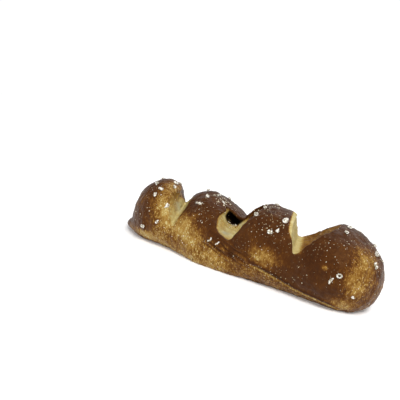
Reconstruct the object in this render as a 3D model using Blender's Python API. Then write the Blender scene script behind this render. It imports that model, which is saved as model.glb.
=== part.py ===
"""A lye-baked mini baguette: one loaf with three deep slanting scores, and the coarse salt grains on it.

The loaf lies along X with its base on Z = 0. Its plump end is at +X and its slim end at -X.
"""

import math
import random
from collections import namedtuple

import bmesh
import bpy
from mathutils import Matrix, Vector, noise
from mathutils.bvhtree import BVHTree

MM = 0.001

# The loaf, before it is scored. At each station along it stand the heights of its crown and its widest line,
# its width, and how square its section is below that line: 2 is an ellipse, and more is boxier.
Station = namedtuple("Station", "x crown belly width skirt")
STATIONS = (
    Station(-63.5 * MM, 29.0 * MM, 11.0 * MM, 33.0 * MM, 2.2),
    Station(-48 * MM, 30.8 * MM, 13.5 * MM, 35.5 * MM, 2.1),
    Station(-28 * MM, 31.0 * MM, 14.5 * MM, 38.0 * MM, 2.8),
    Station(-10 * MM, 32.6 * MM, 15.0 * MM, 39.5 * MM, 4.8),
    Station(8 * MM, 34.2 * MM, 15.5 * MM, 40.0 * MM, 2.8),
    Station(40 * MM, 35.4 * MM, 15.5 * MM, 41.5 * MM, 2.2),
    Station(66.5 * MM, 34.0 * MM, 12.5 * MM, 40.0 * MM, 2.2),
)
CROWN_SQUARENESS = 2.15  # the same above that line
TRIMMED = 2.5 * MM  # what the flat base takes off the round underside

# How far from its tip each end starts to round off, on top, at the sides and below
RoundEnd = namedtuple("RoundEnd", "crown sides base")
SLIM_END = RoundEnd(16 * MM, 17 * MM, 11 * MM)
PLUMP_END = RoundEnd(30 * MM, 22 * MM, 17 * MM)
END_ROUNDNESS = 2.2

# The foot: a small beak of dough at the base of the slim end
FOOT_LENGTH = 6.2 * MM
FOOT_HEIGHT = 2.5 * MM
FOOT_SIDE = -3 * MM
FOOT_SIZE = 3.5 * MM
FOOT_REACH = 12 * MM

# How the dough has risen: its waist beside each score, the step in the crust across a score's line, the share
# of the crown's height above which a score pulls the crust down, and its slow uneven lumps
WAIST_REACH = 8 * MM
WAIST_SIDE = 0.06
STEP_WIDTH = 2 * MM
PULLED_ABOVE = 0.35
LUMP_SIZE = 22 * MM
LUMP_HEIGHT = 0.8 * MM
LUMP_SEED = Vector((3.7, 1.9, 8.2))

# How finely the surface is made
ROLL_STATIONS = 44
ROLL_SIDES = 56
ROLL_ENDS = 0.9995  # keeps the last rings from closing to a point
SCORE_STATIONS = 17
VOXEL = 1.2 * MM
SMOOTHING = 0.5
SMOOTHING_PASSES = 3
KEPT_FACES = 0.27
TRAY_SIZE = 0.3
TRAY_DEPTH = 0.02

# A score's section up each wall, from its floor to the crown. Each point has its share of the wall's lean and
# of the score's depth, and on the left wall also of the undercut. The middle score has a steeper left wall.
LeftPoint = namedtuple("LeftPoint", "lean depth undercut")
LEFT_WALL = (
    LeftPoint(0.12, 0, 0),
    LeftPoint(0.45, 0.14, 0),
    LeftPoint(0.80, 0.42, 1),
    LeftPoint(0.92, 0.72, 1),
    LeftPoint(0.80, 1, 0),
)
STEEP_LEFT_WALL = (
    LeftPoint(0.12, 0, 0),
    LeftPoint(0.72, 0.08, 0),
    LeftPoint(0.94, 0.20, 0.2),
    LeftPoint(1.0, 0.45, 0.6),
    LeftPoint(0.85, 1, 0),
)
RightPoint = namedtuple("RightPoint", "lean depth")
RIGHT_WALL = (
    RightPoint(0.14, 0),
    RightPoint(0.42, 0.14),
    RightPoint(0.70, 0.42),
    RightPoint(0.92, 0.72),
    RightPoint(1.15, 1),
)

# Each score is a slanting cut across the crown. x is where it crosses the middle line, and slant how far it
# turns from straight across. It runs from front (towards -Y) to back, and its floor rises from the heights
# at its two tips to the crest between them. left and right are how far its walls lean back, flare how much
# more the left one does towards the front, and undercut how far it is hollowed. The crust falls towards the
# score by left_dip and right_dip, from as far off as the two reaches. middle is how far along it its crest
# lies. back_flare is how much more the right wall leans towards the back, and corner how much more the left
# one does there. skew draws the right side on towards the back, and back_bluntness shapes that end.
Score = namedtuple(
    "Score",
    "name x slant front back tip_front crest tip_back left right flare undercut "
    "left_dip left_reach right_dip right_reach middle back_flare corner skew back_bluntness left_wall",
    defaults=(0, 0, 0, 0, 0.6, LEFT_WALL),
)
SCORES = (
    Score(
        "score_1", -40.5 * MM, 19, front=21 * MM, back=20 * MM,
        tip_front=12 * MM, crest=17 * MM, tip_back=17 * MM,
        left=-1.5 * MM, right=7.5 * MM, flare=7 * MM, undercut=2.5 * MM,
        left_dip=3 * MM, left_reach=9 * MM, right_dip=10 * MM, right_reach=18 * MM,
    ),
    Score(
        "score_2", -5 * MM, 4, front=17 * MM, back=2 * MM,
        tip_front=16.5 * MM, crest=18 * MM, tip_back=20 * MM,
        left=4.8 * MM, right=8.5 * MM, flare=9 * MM, undercut=3 * MM,
        left_dip=9.5 * MM, left_reach=24 * MM, right_dip=9.5 * MM, right_reach=10 * MM,
        middle=-5 * MM, corner=4 * MM, skew=0.8, back_bluntness=0.07, left_wall=STEEP_LEFT_WALL,
    ),
    Score(
        "score_3", 23 * MM, 16, front=22 * MM, back=24 * MM,
        tip_front=22 * MM, crest=18.5 * MM, tip_back=18 * MM,
        left=2 * MM, right=16.5 * MM, flare=0.5 * MM, undercut=1.5 * MM,
        left_dip=3 * MM, left_reach=16 * MM, right_dip=4 * MM, right_reach=18 * MM,
        back_flare=8 * MM,
    ),
)

# Where the two walls end, SCORE_RISE above the floor and so clear of the crown, as shares of their lean
SCORE_RISE = 30 * MM
LEFT_TOP = 0.75
RIGHT_TOP = 1.60

# How a score narrows to its tips: how bluntly at the front, and to what share of its width
FRONT_BLUNTNESS = 0.6
TIP_WIDTH = 0.03

# Between these two shares of its run, a score's corner opens, and its skew sets in. The skew starts a little
# to the left of the score's line.
CORNER_FROM, CORNER_TO = -0.5, 0.6
SKEW_FROM, SKEW_TO = -0.5, 0.2
SKEW_START = 3 * MM

# The hollow that runs on under the crust behind score_2, and how far it is tipped about Y, in degrees
HOLLOW_PLACE = Vector((-9.4 * MM, -0.6 * MM, 21.2 * MM))
HOLLOW_SIZE = Vector((8.6 * MM, 11 * MM, 4.6 * MM))
HOLLOW_TILT = 27

# The salt. Each grain lies at a place along the loaf and at a bearing round it, 0 at the front and 90 on top.
GRAIN_GAP = 0.3 * MM
GRAIN_SEED = 11
GRAIN_ROUGHNESS = 0.20
GRAIN_FLAT = 0.3  # how far under its middle a grain's base is flat, as a share of its height
RAY_LENGTH = 60 * MM
Grain = namedtuple("Grain", "x bearing length width height turn")
GRAINS = (
    # On the first lobe
    Grain(-52 * MM, 67, 3.0 * MM, 2.2 * MM, 1.5 * MM, 20),
    Grain(-47 * MM, 53, 2.6 * MM, 1.8 * MM, 1.3 * MM, 10),
    Grain(-48 * MM, 41, 2.2 * MM, 1.8 * MM, 1.5 * MM, 70),
    Grain(-45 * MM, 88, 2.6 * MM, 2.0 * MM, 1.4 * MM, 80),
    Grain(-43 * MM, 72, 2.2 * MM, 1.8 * MM, 1.3 * MM, 30),
    Grain(-40 * MM, 28, 3.0 * MM, 1.8 * MM, 1.5 * MM, 60),
    Grain(-42 * MM, 0, 2.2 * MM, 1.6 * MM, 1.2 * MM, 75),
    Grain(-50 * MM, -14, 2.4 * MM, 1.8 * MM, 1.2 * MM, 0),
    Grain(-55 * MM, 108, 2.4 * MM, 1.9 * MM, 1.3 * MM, 40),
    Grain(-48 * MM, 126, 2.8 * MM, 2.0 * MM, 1.4 * MM, 15),
    Grain(-51 * MM, 158, 2.0 * MM, 1.7 * MM, 1.2 * MM, 60),
    # On the second
    Grain(-24 * MM, 72, 2.4 * MM, 1.8 * MM, 1.2 * MM, 0),
    Grain(-25 * MM, 50, 4.2 * MM, 1.6 * MM, 1.2 * MM, 15),
    Grain(-21 * MM, 94, 3.5 * MM, 1.5 * MM, 1.0 * MM, 5),
    Grain(-16 * MM, 78, 3.0 * MM, 1.3 * MM, 1.0 * MM, 20),
    Grain(-12 * MM, 0, 2.8 * MM, 1.3 * MM, 1.0 * MM, 60),
    Grain(-8 * MM, -2, 2.4 * MM, 1.2 * MM, 1.0 * MM, 30),
    Grain(-30 * MM, 118, 2.5 * MM, 1.9 * MM, 1.3 * MM, 50),
    Grain(-20 * MM, 133, 2.2 * MM, 1.8 * MM, 1.3 * MM, 10),
    Grain(-24 * MM, 162, 2.6 * MM, 1.7 * MM, 1.2 * MM, 35),
    # On the third
    Grain(6 * MM, 76, 2.8 * MM, 1.6 * MM, 1.2 * MM, 10),
    Grain(5 * MM, 54, 2.4 * MM, 2.2 * MM, 1.3 * MM, 45),
    Grain(15 * MM, 34, 2.6 * MM, 2.0 * MM, 1.4 * MM, 10),
    Grain(18 * MM, 39, 2.2 * MM, 1.8 * MM, 1.3 * MM, 80),
    Grain(19 * MM, 58, 3.2 * MM, 2.6 * MM, 0.9 * MM, 70),
    Grain(7 * MM, 116, 2.6 * MM, 2.0 * MM, 1.4 * MM, 25),
    Grain(13 * MM, 140, 2.3 * MM, 1.7 * MM, 1.2 * MM, 65),
    # On the fourth
    Grain(45 * MM, 98, 2.6 * MM, 2.2 * MM, 1.3 * MM, 0),
    Grain(46 * MM, 76, 3.0 * MM, 2.0 * MM, 0.9 * MM, 25),
    Grain(60 * MM, 90, 2.8 * MM, 2.4 * MM, 1.5 * MM, 30),
    Grain(62 * MM, 62, 3.4 * MM, 2.0 * MM, 1.5 * MM, 75),
    Grain(51 * MM, 13, 2.8 * MM, 2.2 * MM, 1.5 * MM, 0),
    Grain(48 * MM, 3, 3.4 * MM, 1.5 * MM, 1.1 * MM, 65),
    Grain(58 * MM, -12, 1.6 * MM, 1.4 * MM, 1.0 * MM, 0),
    Grain(48 * MM, 128, 2.7 * MM, 2.1 * MM, 1.4 * MM, 20),
    Grain(57 * MM, 118, 2.3 * MM, 1.8 * MM, 1.2 * MM, 55),
    Grain(46 * MM, 174, 2.5 * MM, 1.8 * MM, 1.3 * MM, 35),
)

CRUST_BROWN = (0.105, 0.034, 0.010, 1.0)
SALT_WHITE = (0.83, 0.81, 0.76, 1.0)


def clear_scene():
    for obj in list(bpy.data.objects):
        bpy.data.objects.remove(obj)


def plain_material(name, colour, roughness):
    material = bpy.data.materials.new(name)
    material.use_nodes = True
    shader = material.node_tree.nodes["Principled BSDF"]
    shader.inputs["Base Color"].default_value = colour
    shader.inputs["Roughness"].default_value = roughness
    shader.inputs["Metallic"].default_value = 0.0
    material.diffuse_color = colour
    return material


def add_object(name, mesh_maker, material=None):
    """A new object whose mesh is what mesh_maker leaves in a bmesh, with its faces pointing out."""
    mesh = bpy.data.meshes.new(name)
    body = bmesh.new()
    mesh_maker(body)
    bmesh.ops.recalc_face_normals(body, faces=body.faces)
    body.to_mesh(mesh)
    body.free()
    mesh.shade_smooth()
    obj = bpy.data.objects.new(name, mesh)
    bpy.context.scene.collection.objects.link(obj)
    if material:
        mesh.materials.append(material)
    return obj


def loft(body, rings):
    """Skins a row of point rings, all with the same number of points, and closes both ends."""
    loops = [[body.verts.new(point) for point in ring] for ring in rings]
    for loop in loops:
        for a, b in zip(loop, loop[1:] + loop[:1]):
            body.edges.new((a, b))
    for here, there in zip(loops, loops[1:]):
        edges = [body.edges.get((a, b)) for loop in (here, there) for a, b in zip(loop, loop[1:] + loop[:1])]
        bmesh.ops.bridge_loops(body, edges=edges)
    body.faces.new(loops[0])
    body.faces.new(loops[-1])


def smooth_step(low, high, value):
    share = min(1.0, max(0.0, (value - low) / (high - low)))
    return share * share * (3 - 2 * share)


def station_value(x, field):
    """A station field's value at x, on a smooth curve through the stations."""
    spots = [station.x for station in STATIONS]
    values = [getattr(station, field) for station in STATIONS]
    last = len(spots) - 1
    i = max(0, min(last - 1, sum(x >= spot for spot in spots) - 1))

    def slope(k):
        before, after = max(0, k - 1), min(last, k + 1)
        return (values[after] - values[before]) / (spots[after] - spots[before])

    span = spots[i + 1] - spots[i]
    t = max(0.0, min(1.0, (x - spots[i]) / span))
    rise = values[i + 1] - values[i]
    bend = span * (slope(i) * t * (1 - t) ** 2 - slope(i + 1) * t * t * (1 - t))
    return values[i] + rise * smooth_step(0, 1, t) + bend


def fullness(x, reach):
    """How full the loaf is at x, from 0 at its tip to 1 where the end's rounding starts."""
    tip = STATIONS[-1].x if x > 0 else STATIONS[0].x
    into = max(0.0, 1 - abs(tip - x) / reach)
    return (1 - into**END_ROUNDNESS) ** (1 / END_ROUNDNESS)


def section_point(angle, skirt):
    """A point of the unit section: across, and up."""
    power = 2 / (CROWN_SQUARENESS if math.sin(angle) > 0 else skirt)
    across = math.copysign(abs(math.cos(angle)) ** power, math.cos(angle))
    up = math.copysign(abs(math.sin(angle)) ** power, math.sin(angle))
    return across, up


def off_score(score, x, y):
    """How far a point of the plan lies to the right of a score's line."""
    slant = math.radians(score.slant)
    return (x - score.x) * math.cos(slant) + y * math.sin(slant)


def valley(score, off):
    """How far the crown dips beside a score: steepest at its line, and level again at its reach."""
    over = smooth_step(-STEP_WIDTH, STEP_WIDTH, off)
    dip = score.left_dip + (score.right_dip - score.left_dip) * over
    reach = score.right_reach if off > 0 else score.left_reach
    return dip * max(0.0, 1 - abs(off) / reach) ** 2


def foot(point):
    """How far the beak at the slim end's base stands out there."""
    low = math.exp(-(((point.z - FOOT_HEIGHT) / FOOT_SIZE) ** 2))
    middle = math.exp(-(((point.y - FOOT_SIDE) / (2 * FOOT_SIZE)) ** 2))
    return FOOT_LENGTH * low * middle * smooth_step(STATIONS[0].x + FOOT_REACH, STATIONS[0].x, point.x)


def risen(point):
    """Where a point of the plain roll ends up once the dough has risen round its scores."""
    offs = [off_score(score, point.x, point.y) for score in SCORES]
    dip = max(valley(score, off) for score, off in zip(SCORES, offs))
    pinch = max(math.exp(-((off / WAIST_REACH) ** 2)) for off in offs)
    crown = station_value(point.x, "crown")
    high = smooth_step(PULLED_ABOVE * crown, crown, point.z)
    moved = Vector((point.x - foot(point), point.y * (1 - WAIST_SIDE * pinch), point.z - dip * high))
    away = Vector((0, point.y, point.z - station_value(point.x, "belly"))).normalized()
    return moved + away * LUMP_HEIGHT * noise.noise(point / LUMP_SIZE + LUMP_SEED)


def roll_ring(x):
    """The loaf's cross-section at x, as a closed row of points."""
    end = PLUMP_END if x > 0 else SLIM_END
    belly = station_value(x, "belly")
    above = (station_value(x, "crown") - belly) * fullness(x, end.crown)
    below = (belly + TRIMMED) * fullness(x, end.base)
    half = station_value(x, "width") / 2 * fullness(x, end.sides)
    ring = []
    for side in range(ROLL_SIDES):
        across, up = section_point(2 * math.pi * side / ROLL_SIDES, station_value(x, "skirt"))
        ring.append(risen(Vector((x, half * across, belly + up * (above if up > 0 else below)))))
    return ring


def make_roll(body):
    middle = (STATIONS[-1].x + STATIONS[0].x) / 2
    half = (STATIONS[-1].x - STATIONS[0].x) / 2
    turns = [math.pi / 2 * (2 * i / ROLL_STATIONS - 1) for i in range(ROLL_STATIONS + 1)]
    loft(body, [roll_ring(middle + half * ROLL_ENDS * math.sin(turn)) for turn in turns])


def score_profile(score, u, floor):
    """The section of a score's cutter at u, from -1 at its front tip to 1 at its back: (right, up) points."""
    depth = station_value(score.x, "crown") - floor
    narrow = max(TIP_WIDTH, (1 - u * u) ** (FRONT_BLUNTNESS if u < 0 else score.back_bluntness))
    corner = score.corner * smooth_step(CORNER_FROM, CORNER_TO, u)
    left = (score.left + score.flare * max(0, -u) + corner) * narrow
    under = score.undercut * narrow
    right = (score.right + score.back_flare * max(0, u)) * narrow
    top = floor + SCORE_RISE
    left_wall = [(-left * at.lean - under * at.undercut, floor + depth * at.depth) for at in score.left_wall]
    right_wall = [(right * at.lean, floor + depth * at.depth) for at in RIGHT_WALL]
    return [(-left * LEFT_TOP, top), *reversed(left_wall), *right_wall, (right * RIGHT_TOP, top)]


def make_score(score):
    """A mesh maker for the wedge that opens a score: widest over the crown, closed at both its tips."""
    slant = math.radians(score.slant)
    right = Vector((math.cos(slant), math.sin(slant), 0))
    back = Vector((-math.sin(slant), math.cos(slant), 0))

    def maker(body):
        rings = []
        for i in range(SCORE_STATIONS):
            u = 2 * i / (SCORE_STATIONS - 1) - 1
            along = score.middle + u * (score.front if u < 0 else score.back)
            skew = score.skew * smooth_step(SKEW_FROM, SKEW_TO, u)
            tip = score.tip_front if u < 0 else score.tip_back
            floor = tip + (score.crest - tip) * (1 - u * u)
            origin = Vector((score.x, 0, 0)) + back * along
            ring = []
            for n, z in score_profile(score, u, floor):
                ring.append(origin + right * n + back * skew * max(0, n + SKEW_START) + Vector((0, 0, z)))
            rings.append(ring)
        loft(body, rings)

    return maker


def make_hollow(body):
    bmesh.ops.create_uvsphere(body, u_segments=24, v_segments=12, radius=0.5)
    turn = Matrix.Rotation(math.radians(HOLLOW_TILT), 3, "Y")
    place = Matrix.LocRotScale(HOLLOW_PLACE, turn, HOLLOW_SIZE)
    bmesh.ops.transform(body, verts=body.verts, matrix=place)


def hide_cutter(obj):
    obj.hide_render = True
    obj.display_type = "WIRE"
    return obj


def make_tray(body):
    """The block of air under Z = 0, which trims the loaf to the flat base it was baked on."""
    size = Matrix.Diagonal((TRAY_SIZE, TRAY_SIZE, TRAY_DEPTH, 1))
    bmesh.ops.create_cube(body, size=1, matrix=Matrix.Translation((0, 0, -TRAY_DEPTH / 2)) @ size)


def cut(obj, cutter):
    modifier = obj.modifiers.new(cutter.name, "BOOLEAN")
    modifier.operation = "DIFFERENCE"
    modifier.solver = "EXACT"
    modifier.object = cutter


def bake_loaf(material):
    """The loaf: the roll, opened by its scores, its edges rounded by the oven, and trimmed to its base."""
    loaf = add_object("loaf", make_roll, material)
    for score in SCORES:
        cut(loaf, hide_cutter(add_object(score.name, make_score(score))))
    cut(loaf, hide_cutter(add_object("hollow", make_hollow)))
    skin = loaf.modifiers.new("skin", "REMESH")
    skin.mode = "VOXEL"
    skin.voxel_size = VOXEL
    skin.use_smooth_shade = True
    rounding = loaf.modifiers.new("rounding", "SMOOTH")
    rounding.factor = SMOOTHING
    rounding.iterations = SMOOTHING_PASSES
    thinning = loaf.modifiers.new("thinning", "DECIMATE")
    thinning.ratio = KEPT_FACES
    cut(loaf, hide_cutter(add_object("tray", make_tray)))
    return loaf


def surface_of(obj):
    """The object's evaluated surface, for finding places on it."""
    bpy.context.view_layer.update()
    return BVHTree.FromObject(obj, bpy.context.evaluated_depsgraph_get())


def make_grain(grain, rng):
    """A mesh maker for one grain: a chipped lump, flatter below, with its base at Z = 0."""

    def maker(body):
        bmesh.ops.create_icosphere(body, subdivisions=2, radius=0.5)
        for vert in body.verts:
            vert.co *= 1 + rng.uniform(-GRAIN_ROUGHNESS, GRAIN_ROUGHNESS)
            vert.co.z = max(vert.co.z, -GRAIN_FLAT)
        low = min(vert.co.z for vert in body.verts)
        for vert in body.verts:
            raised = vert.co - Vector((0, 0, low))
            vert.co = Matrix.Diagonal((grain.length, grain.width, grain.height)) @ raised

    return maker


def place_on(surface, grain, points):
    """Where a grain rests: facing out from the crust in its bearing, with the gap under its lowest point."""
    bearing = math.radians(grain.bearing)
    way_out = Vector((0, -math.cos(bearing), math.sin(bearing)))
    middle = Vector((grain.x, 0, station_value(grain.x, "belly")))
    spot, normal, _, _ = surface.ray_cast(middle + way_out * RAY_LENGTH, -way_out)
    upright = normal.to_track_quat("Z", "Y").to_matrix().to_4x4()
    place = Matrix.Translation(spot) @ upright @ Matrix.Rotation(math.radians(grain.turn), 4, "Z")
    heights = []
    for point in points:
        near, facing, _, _ = surface.find_nearest(place @ point)
        heights.append((place @ point - near).dot(facing))
    return Matrix.Translation(normal * (GRAIN_GAP - min(heights))) @ place


def salt_loaf(loaf, material):
    surface = surface_of(loaf)
    rng = random.Random(GRAIN_SEED)
    for number, grain in enumerate(GRAINS, 1):
        obj = add_object(f"salt_grain_{number:02d}", make_grain(grain, rng), material)
        obj.matrix_world = place_on(surface, grain, [vert.co for vert in obj.data.vertices])


def main():
    clear_scene()
    loaf = bake_loaf(plain_material("lye_crust", CRUST_BROWN, 0.45))
    salt_loaf(loaf, plain_material("pretzel_salt", SALT_WHITE, 0.6))


main()
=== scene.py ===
"""The finished look of a lye-baked mini baguette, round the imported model.

One loaf with four risen lobes, three torn scores that show its crumb, and coarse pretzel salt on its crust.
"""

import logging
import math
import random
from collections.abc import Callable
from dataclasses import dataclass
from enum import Enum

import bpy
import numpy as np
from mathutils import Euler, Matrix, Vector, noise
from mathutils.bvhtree import BVHTree


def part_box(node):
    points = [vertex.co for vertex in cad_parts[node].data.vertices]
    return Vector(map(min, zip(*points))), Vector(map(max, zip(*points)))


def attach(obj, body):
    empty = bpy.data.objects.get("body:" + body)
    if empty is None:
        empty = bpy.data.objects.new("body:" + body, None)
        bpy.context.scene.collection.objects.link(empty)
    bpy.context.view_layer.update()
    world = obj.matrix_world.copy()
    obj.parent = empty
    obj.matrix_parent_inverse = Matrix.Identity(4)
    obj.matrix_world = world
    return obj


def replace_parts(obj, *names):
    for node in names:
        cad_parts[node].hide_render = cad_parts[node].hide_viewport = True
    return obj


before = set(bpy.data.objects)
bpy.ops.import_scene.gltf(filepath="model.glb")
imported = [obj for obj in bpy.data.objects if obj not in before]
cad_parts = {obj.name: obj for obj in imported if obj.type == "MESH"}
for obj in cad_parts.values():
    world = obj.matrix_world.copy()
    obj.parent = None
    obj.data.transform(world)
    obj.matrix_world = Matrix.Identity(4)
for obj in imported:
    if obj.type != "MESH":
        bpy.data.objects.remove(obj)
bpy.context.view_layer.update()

MM = 0.001
LOG = logging.getLogger("mini_baguette")


# ---------------------------------------------------------------------------------------------------------
# Small helpers


def linear(hex_colour: str) -> tuple[float, float, float, float]:
    """Turns an sRGB colour into the linear one that a shader takes.

    Args:
        hex_colour: Six hex digits.

    Returns:
        Red, green, blue and a full alpha.
    """
    channels = [int(hex_colour[i : i + 2], 16) / 255 for i in (0, 2, 4)]
    return (*(c / 12.92 if c <= 0.04045 else ((c + 0.055) / 1.055) ** 2.4 for c in channels), 1.0)


def smooth_step(low: float, high: float, value: float) -> float:
    """Gives 0 before low, 1 after high, and a smooth rise between them."""
    share = min(1.0, max(0.0, (value - low) / (high - low)))
    return share * share * (3 - 2 * share)


def bell(off: float, width: float) -> float:
    """Gives 1 at no distance, and falls off smoothly within a few widths."""
    return math.exp(-((off / width) ** 2))


def grain_of(point: Vector, size: float, seed: int = 0) -> float:
    """Gives soft noise from -1 to 1 whose lumps are about size across."""
    return noise.noise(point / size + Vector((seed * 7.3, seed * 3.1, seed * 5.7)))


def select_only(obj: bpy.types.Object) -> bpy.types.Object:
    """Makes one object the active one and the only one selected.

    Args:
        obj: The object.

    Returns:
        The same object.
    """
    bpy.ops.object.select_all(action="DESELECT")
    obj.select_set(True)
    bpy.context.view_layer.objects.active = obj
    return obj


def named(name: str) -> bpy.types.Object:
    """Names the object that an operator has just added, and its mesh.

    Args:
        name: What they are called.

    Returns:
        The object.
    """
    obj = bpy.context.object
    obj.name = name
    obj.data.name = name
    return obj


def joined(parts: list[bpy.types.Object], name: str) -> bpy.types.Object:
    """Joins objects into one.

    Args:
        parts: The objects.
        name: What the whole is called.

    Returns:
        The whole.
    """
    bpy.ops.object.select_all(action="DESELECT")
    for part in parts:
        part.select_set(True)
    bpy.context.view_layer.objects.active = parts[0]
    bpy.ops.object.join()
    return named(name)


def add_ball(name: str, segments: int, rings: int) -> bpy.types.Object:
    """Adds a unit ball whose poles lie on the X axis, ready to be drawn out into a long shape.

    Args:
        name: The object's name.
        segments: How many faces there are round X.
        rings: How many there are from pole to pole.

    Returns:
        The new object.
    """
    bpy.ops.object.select_all(action="DESELECT")
    bpy.ops.mesh.primitive_uv_sphere_add(segments=segments, ring_count=rings, radius=1)
    ball = named(name)
    bpy.ops.object.mode_set(mode="EDIT")
    bpy.ops.mesh.select_all(action="SELECT")
    bpy.ops.transform.rotate(value=math.pi / 2, orient_axis="Y", center_override=(0, 0, 0))
    bpy.ops.object.mode_set(mode="OBJECT")
    return ball


def draw_out(ball: bpy.types.Object, place: Callable[[float, float], Vector]) -> bpy.types.Object:
    """Moves a ball's vertices onto another closed surface.

    Args:
        ball: What add_ball made.
        place: Gives a point for how far along it is, from -1 to 1, and its angle round X.

    Returns:
        The same object, with its faces pointing out.
    """
    for vert in ball.data.vertices:
        vert.co = place(max(-1.0, min(1.0, vert.co.x)), math.atan2(vert.co.z, vert.co.y))
    select_only(ball)
    bpy.ops.object.mode_set(mode="EDIT")
    bpy.ops.mesh.select_all(action="SELECT")
    bpy.ops.mesh.normals_make_consistent(inside=False)
    bpy.ops.object.mode_set(mode="OBJECT")
    return ball


def finish_modifier(obj: bpy.types.Object, kind: str, **settings: object) -> None:
    """Adds a modifier to an object and applies it.

    Args:
        obj: The object.
        kind: The modifier's type.
        settings: The values of its fields.
    """
    select_only(obj)
    modifier = obj.modifiers.new(kind.title(), kind)
    for key, value in settings.items():
        setattr(modifier, key, value)
    bpy.ops.object.modifier_apply(modifier=modifier.name)


def surface_of(obj: bpy.types.Object) -> BVHTree:
    """Gives an object's finished surface, for finding places on it."""
    bpy.context.view_layer.update()
    return BVHTree.FromObject(obj, bpy.context.evaluated_depsgraph_get())


def place_in_mesh(obj: bpy.types.Object, place: Matrix) -> None:
    """Puts an object's place into its mesh, so that the object itself stays at the origin."""
    obj.data.transform(place @ obj.matrix_basis)
    obj.matrix_basis = Matrix.Identity(4)


# ---------------------------------------------------------------------------------------------------------
# The dough: the same roll and scores as the frame's, in metres


@dataclass(frozen=True)
class Station:
    """The roll's section at one place along it, before it is scored."""

    x: float
    crown: float
    belly: float
    width: float
    skirt: float


@dataclass(frozen=True)
class RoundEnd:
    """How far from its tip an end starts to round off, on top, at the sides and below."""

    crown: float
    sides: float
    base: float


@dataclass(frozen=True)
class Score:
    """A slanting cut across the crown, and how the crust falls towards it on its two sides."""

    name: str
    x: float
    slant: float
    front: float
    back: float
    tip_front: float
    crest: float
    tip_back: float
    left: float
    right: float
    flare: float
    undercut: float
    left_dip: float
    left_reach: float
    right_dip: float
    right_reach: float
    back_flare: float = 0.0
    middle: float = 0.0
    skew: float = 0.0
    back_bluntness: float = 0.6
    corner: float = 0.0
    # Up the left wall: shares of the wall's lean, of the score's depth, and of the undercut
    left_wall: tuple[tuple[float, float, float], ...] = (
        (0.12, 0, 0),
        (0.45, 0.14, 0),
        (0.80, 0.42, 1),
        (0.92, 0.72, 1),
        (0.80, 1, 0),
    )

    def off(self, x: float, y: float) -> float:
        """Gives how far a point of the plan lies to the right of the cut."""
        slant = math.radians(self.slant)
        return (x - self.x) * math.cos(slant) + y * math.sin(slant)


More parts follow.
